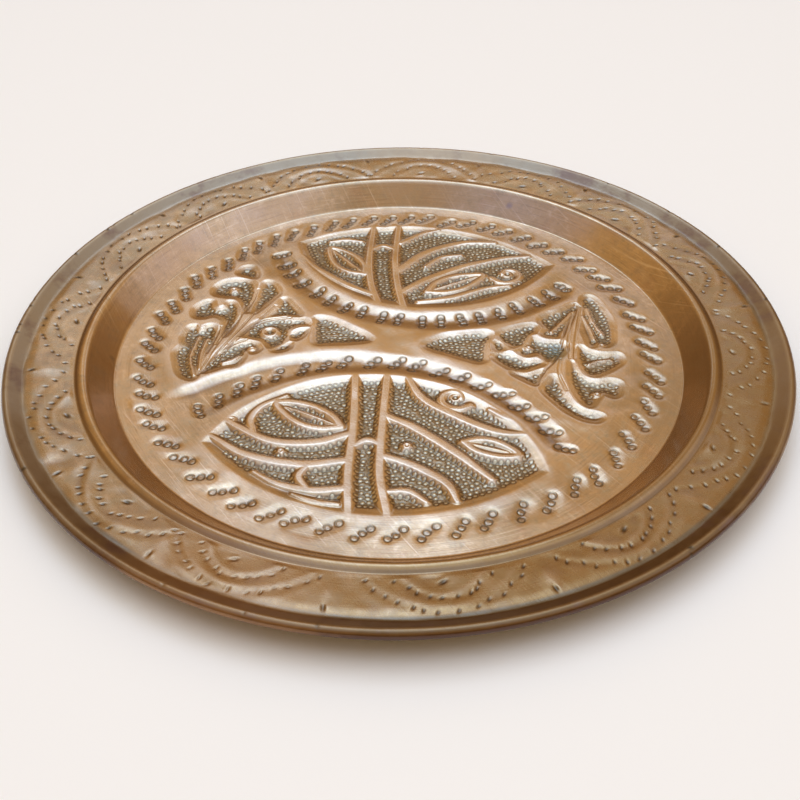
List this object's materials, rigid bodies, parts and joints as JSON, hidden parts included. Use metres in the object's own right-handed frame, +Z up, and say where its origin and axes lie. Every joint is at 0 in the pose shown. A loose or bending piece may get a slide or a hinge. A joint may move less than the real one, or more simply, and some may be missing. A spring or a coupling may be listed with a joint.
{
  "type": "serving tray",
  "caption": "Round hammered copper tray with a flat chased floor, a sloping wall, a broad punched flange and an edge rolled round a wire.",
  "frame": {"origin": "centre of the plane that the tray rests on, under the middle of the floor", "axes": "+Z up out of the well, +X to the right and +Y towards the far panel; the panels' axis is turned 10 degrees clockwise from +Y"},
  "size_m": [0.34, 0.34, 0.0152],
  "materials": {
    "copper": "hand-rubbed copper, satin, with brown patina in the recesses",
    "wire": "dull drawn iron wire"
  },
  "bodies": {
    "root": {"tray_sheet": "copper", "rim_wire": "wire"}
  },
  "joints": []
}
